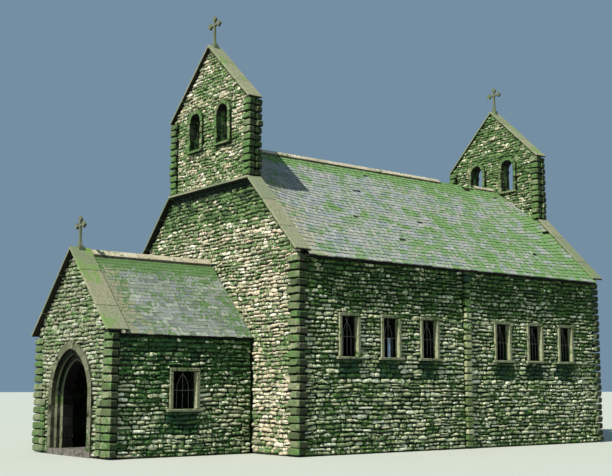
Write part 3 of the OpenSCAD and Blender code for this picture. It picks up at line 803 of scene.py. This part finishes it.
pier_stone = mossy_stone(
    "pier_sandstone", ("#66704A", "#848C62", "#A8AE84", "#CBCBA8", "#727C54"), "#5E7240",
    ((0.0, 0.24), (0.6, 0.12), (3.7, 0.14), (3.9, 0.62), (4.9, 0.78)),
    moss_tones=("#24401A", "#4C7034", "#80A450"), patchy=0.9, fringe=1.6, wet_shade=0.9)
rows = []
for sx in (1, -1):
    places = spread(0.0, pier_high.z, 0.17, 0.3)
    for z0, z1 in zip(places, places[1:]):
        place, _, size, *rest = quoin_block((sx * (right_x - 0.05), pier_low.y, z0),
                                            (sx * pier_high.x, pier_high.y, z1))
        turn = tuple(radians(rng.uniform(-4, 4)) for _ in range(3))
        size = (size[0] * 0.97, size[1] * rng.uniform(0.90, 1.0), size[2] * rng.uniform(0.84, 0.98))
        rows.append((place, turn, size, *rest))
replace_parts(lay("pilaster_stones", block_tree, rows, pier_stone), "pilasters")


# Windows. Each has a plain frame of sawn sandstone: two upright jambs, a lintel, and a sill that
# runs past the jambs and throws the rain off. Sawn stone is smoother, and its returns are painted
# darker as shade.
def cut_stones(name, node, cuts, material, chip=0.010, ragged=0.004,
               shift=0.0, damp=0.0):
    """Cuts a copy of a CAD node into stones, each kept in front of its own planes, and wears them."""
    source = merged_copy(node)
    made = []
    for planes in cuts:
        stone = new_object("stone", source.data.copy())
        for place, way in planes:
            edit_all()
            bpy.ops.mesh.bisect(plane_co=place, plane_no=way, use_fill=True, clear_inner=True)
        edit_all()
        if shift:
            bpy.ops.transform.translate(value=[rng.uniform(-shift, shift) for _ in range(3)])
        leave_edit()
        if not stone.data.vertices:
            bpy.data.objects.remove(stone)
            continue
        for key, value in (("tone", rng.random()), ("cover", damp + rng.uniform(-0.12, 0.12))):
            field = stone.data.attributes.new(key, "FLOAT", "POINT").data
            field.foreach_set("value", [value] * len(field))
        made.append(stone)
    bpy.data.objects.remove(source)
    piece = made[0]
    select_only(*made)
    if len(made) > 1:
        bpy.ops.object.join()
    arris = piece.modifiers.new("worn_arris", "BEVEL")
    arris.width = chip
    arris.angle_limit = radians(35)
    bpy.ops.object.modifier_apply(modifier="worn_arris")
    edit_all()
    bpy.ops.transform.vertex_random(offset=ragged, seed=7)
    leave_edit()
    bpy.ops.object.shade_smooth_by_angle(angle=radians(28))
    finished(piece, name, material)
    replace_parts(piece, node)


sawn_stone = mossy_stone(
    "sawn_sandstone", ("#989C80", "#AAAE8E", "#B8BA98", "#A2A586"), "#6F7F50",
    ((0.0, 0.16), (2.3, 0.20), (2.6, 0.08), (3.6, 0.14), (9.0, 0.0)), relief=0.005, stained=0.7,
    sides=0.60)
for side, way in sides:
    for part, chip in (("lintels", 0.012), ("jambs", 0.010), ("sills", 0.014)):
        name = f"{side}_window_{part}"
        cut_stones(name + "_stone", name, [[]], sawn_stone, chip=chip, ragged=0.005)

# Bell openings. Round heads of rough dressed stones over upright margins, on sills that jut out.
# Each head is cut into seven wedges, and each upright into stones that are no longer in line.
across, upward = Vector((1, 0, 0)), Vector((0, 0, 1))


def slices(axis, places, gap, start=Vector()):
    """Pairs of planes for stones between places along an axis from a start."""
    return [[(start + axis * (a + gap / 2), axis), (start + axis * (b - gap / 2), -axis)]
            for a, b in zip(places, places[1:])]


def wedges(centre, angle, count, way=1):
    """Pairs of planes for the wedges of an arch, from its springing round to an angle."""
    turns = [angle * i / count for i in range(count + 1)]
    return [[(centre, Vector((-way * sin(a), 0, cos(a)))), (centre, Vector((way * sin(b), 0, -cos(b))))]
            for a, b in zip(turns, turns[1:])]


cuts = []
for gable, out in (("front", -1), ("rear", 1)):
    for side, way in sides:
        low, high = openings[f"{gable}_bell_opening_{side}"]
        centre = Vector(((low.x + high.x) / 2, 0, high.z))
        own = [(Vector(), way * across),
               (Vector((0, (front_y + back_y) / 2, 0)), Vector((0, out, 0)))]
        for margin in (across, -across):
            for planes in slices(upward, spread(low.z - stated_gap, high.z, 0.17, 0.2), 0.012):
                cuts.append(own + planes + [(centre, margin)])
        cuts += [own + planes + [(centre, upward)]
                 for planes in wedges(centre + upward * 0.003, pi, 7)]
cut_stones("bell_opening_margins", "bell_arches", cuts, quoin_stone, chip=0.018, ragged=0.016,
           shift=0.010, damp=0.16)
cut_stones("bell_opening_sills", "bell_sills", [[]], quoin_stone, chip=0.014, ragged=0.006,
           damp=0.20)

# Doorway. Three stepped orders of moulded stones rise from upright jambs to a pointed head. The
# outer one is grey, and the inner two carry painted shade, nearly black from about 1.6 m up; the
# returns of all three are painted darker as shade.
for order, wet, returns in (("outer", 0.10, 0.40), ("middle", 0.80, 0.30), ("inner", 0.90, 0.05)):
    moulded_stone = mossy_stone(
        order + "_moulded_sandstone", ("#5A5C48", "#6E705A", "#80806A", "#626450"), "#50583E",
        ((0.0, 0.20), (0.7, 0.06), (1.1, 0.06), (1.6, wet), (3.2, wet), (9.0, wet)), stained=0.8,
        moss_tones=("#20301A", "#384C28", "#56703C"), sides=returns, patchy=0.9, fringe=1.0,
        wet_shade=0.85, wet_shade_colour="#161B15")
    cuts = []
    for way in (1, -1):
        own = [(Vector(), way * across)]
        jamb = spread(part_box(f"doorway_{order}_order")[0].z, spring_z, 0.26, 0.15)
        cuts += [own + planes for planes in slices(upward, jamb, 0.008)]
        top_angle = acos(arch_point / (ring_half + arch_point)) + 0.04
        cuts += [own + planes + [(upward * spring_z, upward)] for planes in
                 wedges(Vector((-way * arch_point, 0, spring_z)), top_angle, 9, way)]
    cut_stones(f"doorway_{order}_voussoirs", f"doorway_{order}_order", cuts, moulded_stone,
               chip=0.014, ragged=0.006)

# Gable copings. Thin slabs of smooth sandstone, butted end to end down each slope, that stand out
# past both faces of the wall. Rain keeps them clean but for green stains. Their undersides are
# painted near black as shade.
coping_stone = mossy_stone(
    "coping_sandstone", ("#727A64", "#8A8E76", "#98927C", "#7A8268"), "#647A4E",
    ((0.0, 0.22), (5.0, 0.20), (5.6, 0.06), (8.8, 0.06), (9.6, 0.20)), grain=40.0, relief=0.004,
    stained=0.8, moss_tones=("#56703E", "#6C864C", "#84A062"), patchy=1.7, fringe=0.5, soft=0.30)
slab_l, slab_joint = 0.95, 0.006


def slab_planes(way, point, pitch, places):
    """Planes square to a slope, for slabs at distances down it from a point on the middle line."""
    down = Vector((way * cos(pitch), 0, -sin(pitch)))
    return [planes + [(across * way * 0.0005, across * way)]
            for planes in slices(down, places, slab_joint, point)]


for gable in ("front", "rear"):
    low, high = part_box(gable + "_shoulder")
    cut_stones(gable + "_shoulder_slabs", gable + "_shoulder",
               slices(across, spread(low.x - 0.01, high.x + 0.01, 0.85), slab_joint),
               coping_stone)
    low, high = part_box(gable + "_gable_copings")
    length = (high.x - shoulder_high.x) / cos(coping_pitch)
    cuts = []
    for way in (1, -1):
        cuts += slab_planes(way, Vector((way * shoulder_high.x, 0, high.z)), coping_pitch,
                            spread(-0.1, length + 0.1, slab_l))
    cut_stones(gable + "_coping_slabs", gable + "_gable_copings", cuts, coping_stone)
    for side, way in sides:
        name = f"{gable}_bell_coping_{side}"
        low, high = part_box(name)
        length = (high.x - low.x) / cos(bell_pitch)
        cuts = slab_planes(way, upward * high.z, bell_pitch, spread(-0.2, length + 0.1, slab_l))
        cut_stones(name + "_slabs", name, cuts, coping_stone)
for side, way in sides:
    name = "porch_coping_" + side
    cuts = slab_planes(way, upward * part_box(name)[1].z, porch_pitch, (-0.2, 0.9, 2.2, 3.3))
    cut_stones(name + "_slabs", name, cuts, coping_stone)

# Ridges. Angled ridge stones, about half a metre each, bedded over the top slates. They are cut
# from a warmer sandstone and stand dry in the sun and wind. Their upright edges are painted dark
# as shade.
ridge_stone = mossy_stone(
    "ridge_sandstone", ("#A9A38C", "#BDB59C", "#CCC3AC", "#B4AA92"), "#8C9168",
    ((0.0, -0.1), (12.0, -0.1)), underside_shade=0.15, underside_shade_range=(0.1, 0.5))
for name, size in (("nave_ridge", 0.5), ("porch_ridge", 0.47)):
    low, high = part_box(name)
    cuts = slices(Vector((0, 1, 0)), spread(low.y, high.y, size, 0.08), 0.008)
    cut_stones(name + "_stones", name, cuts, ridge_stone, shift=0.002)

# Slates. Thick grey-violet stone slates, hung in courses on boards. Each lies on the two below it,
# and moss has spread from the far end, the eaves and the ridge. Slate is smoother than the walls.
# The slates' downward faces and tails are painted a little darker as shade.
split_slate = {"grain": 16.0, "rough": 0.75, "relief": 0.006, "underside_shade": 0.9}
slate_stone = mossy_stone(
    "moss_grown_slate", ("#81898D", "#8E9598", "#9D9B9C", "#99998F", "#A4A5A6", "#A19C8A"), "#849A86",
    stained=0.6, moss_tones=("#507046", "#668852", "#7E9E64"), patchy=1.5, fringe=1.2, soft=0.20,
    **split_slate)
porch_slate = mossy_stone(
    "moss_grown_porch_slate", ("#626864", "#767C7C", "#8E9294", "#788074", "#A2A8A0", "#8E8C74"),
    "#6E8064", stained=0.8, moss_tones=("#385630", "#527242", "#728E5A"), patchy=0.9, fringe=1.6,
    **split_slate)
boards = mossy_stone("damp_roof_boards", ("#1A1712", "#241F18", "#1D1A14"), "#1A2012", moss=-0.1)
for name in ("nave_roof_right", "nave_roof_left", "porch_roof_right", "porch_roof_left"):
    nodes[name].data.materials.clear()
    nodes[name].data.materials.append(boards)

# All edges of a slate are chamfered by more than it is thick, so that its rims cross and stand out
# by 12 mm past both faces of the model, before each slope makes it thinner.
slate_widths = (0.20, 0.25, 0.30, 0.36)
slate_t, slate_l, slate_chamfer, slate_ragged = 0.008, 0.23, 0.020, 0.007
slate_models = bpy.data.collections.new("slate")
for i, width in enumerate(slate_widths):
    select_only()
    bpy.ops.mesh.primitive_cube_add(size=1, scale=(width, slate_l, slate_t))
    slate = bpy.context.object
    bpy.ops.object.transform_apply()
    edit_all()
    bpy.ops.mesh.bevel(offset=slate_chamfer)
    edit_all()
    bpy.ops.transform.vertex_random(offset=slate_ragged, seed=i + 5)
    keep_model(slate, slate_models, sharp=28)
slate_tree = laying_tree(slate_models)


def slate_slope(roof, way, pitch, exposure, damp, lost=(), rise=lambda x, y: 0.0, thin=1.0):
    """Rows for lay() that cover one slope, from the eaves up, but for the slates that are lost. The
    slates stand over the slope by a rise, and turn with it."""
    low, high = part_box(roof)
    far = max(abs(low.x), abs(high.x))
    length = far / cos(pitch)
    eave_z = high.z - far * tan(pitch)
    tilt = atan(slate_t * thin / exposure)
    rows = []
    course = 0
    down = 0.0
    while down < length - 0.10:
        y = low.y - (0.14 if course % 2 else 0.0)
        while y < high.y - 0.04:
            width = rng.choice(slate_widths) * rng.uniform(0.94, 1.06)
            start, end = max(y, low.y), min(y + width, high.y)
            y += width
            if end - start < 0.05 or any(
                    start < place < end and down - 0.02 < up < down + exposure - 0.02
                    for place, up in lost):
                continue
            pick = min(range(4), key=lambda k: abs(slate_widths[k] - (end - start)))
            tail = down + rng.uniform(-0.012, 0.012) - (0.012 if course == 0 else 0.0)
            long = min(slate_l, length - 0.02 - tail)
            centre = tail + long / 2
            lift = (0.004 + slate_t * thin / 2 - long / 2 * tan(tilt)
                    + rng.uniform(-0.002, 0.005) * thin)
            x = far - centre * cos(pitch) + lift * sin(pitch)
            z = eave_z + centre * sin(pitch) + lift * cos(pitch)
            middle = (start + end) / 2
            along = atan((rise(x, middle + 0.05) - rise(x, middle - 0.05)) / 0.1)
            steeper = (rise(x - 0.05, middle) - rise(x + 0.05, middle)) / 0.1
            lie = atan((tan(pitch) + steeper) * cos(along))
            rows.append((
                (way * x, middle, z + rise(x, middle)),
                (lie - tilt + radians(rng.uniform(-0.7, 0.7)),
                 radians(rng.uniform(-1.0, 1.0)) - way * along,
                 way * pi / 2 + radians(rng.uniform(-1.6, 1.6))),
                ((end - start - 0.006) / slate_widths[pick], long / slate_l, thin), pick,
                1.0 if middle - low.y < rng.uniform(0.2, 0.9) else rng.uniform(0.0, 0.86),
                damp((middle - low.y) / (high.y - low.y), tail / length)
                + rng.uniform(-0.13, 0.13)))
        down += exposure
        course += 1
    return rows


def roof_moss(at_end, at_eaves, ridge_from, ridge_growth):
    """Moss by the shares of the way to the far end and up the slope."""
    return lambda along, up: (at_end * along + at_eaves * (1 - up)
                              + max(0.0, min(0.6, (up - ridge_from) * ridge_growth)))


# Lost slates, by their place along the nave and the distance up the slope.
lost_slates = ((1.51, 4.80), (0.24, 3.74), (-0.81, 2.19), (0.19, 1.23), (1.73, 2.25), (7.26, 4.76),
               (7.58, 2.25), (5.98, 1.20), (6.05, 5.20), (6.30, 5.20), (6.18, 5.04))
roof_low, roof_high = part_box("nave_roof_right")
nave_exposure, porch_exposure, gable_rise = 0.160, 0.130, 0.31


def sag(x, y):
    """The nave slates have sunk between the gables, and still stand up to the copings beside them."""
    reach = abs(2 * y - roof_low.y - roof_high.y) / (roof_high.y - roof_low.y)
    slope = min(x / shoulder_high.x, (roof_high.x - x) / (roof_high.x - shoulder_high.x))
    return gable_rise * max(slope, 0.0) * min(reach, 1.0) ** 5


for side, way in sides:
    rows = slate_slope("nave_roof_" + side, way, roof_pitch, nave_exposure,
                       roof_moss(0.32, 0.08, 0.84, 8), lost_slates, sag, thin=0.85)
    lay("nave_slates_" + side, slate_tree, rows, slate_stone)
    rows = slate_slope("porch_roof_" + side, way, porch_pitch, porch_exposure,
                       roof_moss(0.12, 0.04, 0.72, 5), thin=0.35)
    lay("porch_slates_" + side, slate_tree, rows, porch_slate)

# Crosses. A slim shaft and arms with trefoil ends, worked from one stone and pitted by weather.
cross_stone = mossy_stone("cross_sandstone", ("#5C6450", "#6E765E", "#646C56"), "#52623E")
for name in ("front_cross", "rear_cross", "porch_cross"):
    cut_stones(name + "_stone", name, [[]], cross_stone, chip=0.012, ragged=0.003)

# Window grilles. Thin wrought bars stand in each light: uprights to a rail, and over it two bent
# bars that cross in a point. Rust has made the iron dull and brown in patches of 20 mm.
rust, add, shader = new_material("rusted_wrought_iron")
coords = add("TexCoord", out="Object")
flakes = add("TexNoise", {"Vector": coords, "Scale": 45.0, "Detail": 4.0})
scale = add("ValToRGB", {"Fac": flakes}, [(0.3, "#4A4C4C"), (0.55, "#6A6A66"), (0.7, "#7C6652")])
pitted = add("Bump", {"Height": flakes, "Distance": 0.002})
feed(shader, {"Base Color": scale, "Normal": pitted, "Metallic": 0.1, "Roughness": 0.8})
bar_r, bar_inset, bar_end = 0.007, 0.11, 0.02
for name, (low, high) in openings.items():
    if "window" not in name:
        continue
    wall = porch_half if name.startswith("porch") else right_x
    x = (1 if low.x > 0 else -1) * (wall - bar_inset)
    y0, y1 = low.y - stated_gap, high.y + stated_gap
    z0, z1 = low.z - stated_gap, high.z + stated_gap
    rail = z0 + 0.50 * (z1 - z0)
    middle, step = (y0 + y1) / 2, (y1 - y0) / 4
    bars = []
    for place, length, turn in (((x, middle - step, (rail + z0) / 2), rail - z0, 0),
                                ((x, middle, (z1 + z0) / 2), z1 - z0, 0),
                                ((x, middle + step, (rail + z0) / 2), rail - z0, 0),
                                ((x, middle, rail), y1 - y0, pi / 2)):
        select_only()
        bpy.ops.mesh.primitive_cylinder_add(vertices=6, radius=bar_r, depth=length + bar_end,
                                            location=place, rotation=(turn, 0, 0))
        bars.append(bpy.context.object)
    for k in (-1, 1):
        bpy.ops.mesh.primitive_circle_add(vertices=6, radius=bar_r, fill_type="NGON",
                                          location=(x, middle + k * step, rail))
        bars.append(bpy.context.object)
        bpy.ops.object.transform_apply()
        edit_all()
        reach = (z1 - rail) * 1.25
        bpy.ops.mesh.spin(steps=7, angle=-k * 0.80, center=(x, middle + k * (step - reach), rail),
                          axis=(1, 0, 0))
        leave_edit()
    select_only(*bars)
    bpy.ops.object.join()
    bpy.ops.object.transform_apply()
    bpy.ops.object.shade_smooth_by_angle(angle=radians(40))
    finished(bars[0], name + "_grille", rust)

# Floors. Worn flagstones inside, dull and dusty, about 0.6 m across with dark joints.
flags, add, shader = new_material("worn_flagstones")
coords = add("TexCoord", out="Object")
paving = add("TexVoronoi", {"Vector": coords, "Scale": 1.6}, feature="DISTANCE_TO_EDGE")
dirt = add("TexNoise", {"Vector": coords, "Scale": 9.0, "Detail": 5.0})
joints = add("MapRange", {"Value": paving, "From Max": 0.04})
worn = add("ValToRGB", {"Fac": dirt}, [(0.3, "#4E4B44"), (0.7, "#77726A")])
laid = add("Mix", {0: joints, 6: linear("#24221E"), 7: worn}, out=2, data_type="RGBA")
feed(shader, {"Base Color": laid, "Roughness": 0.85})
for name in ("nave_floor", "porch_floor", "doorway_threshold"):
    nodes[name].data.materials.clear()
    nodes[name].data.materials.append(flags)

low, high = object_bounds()
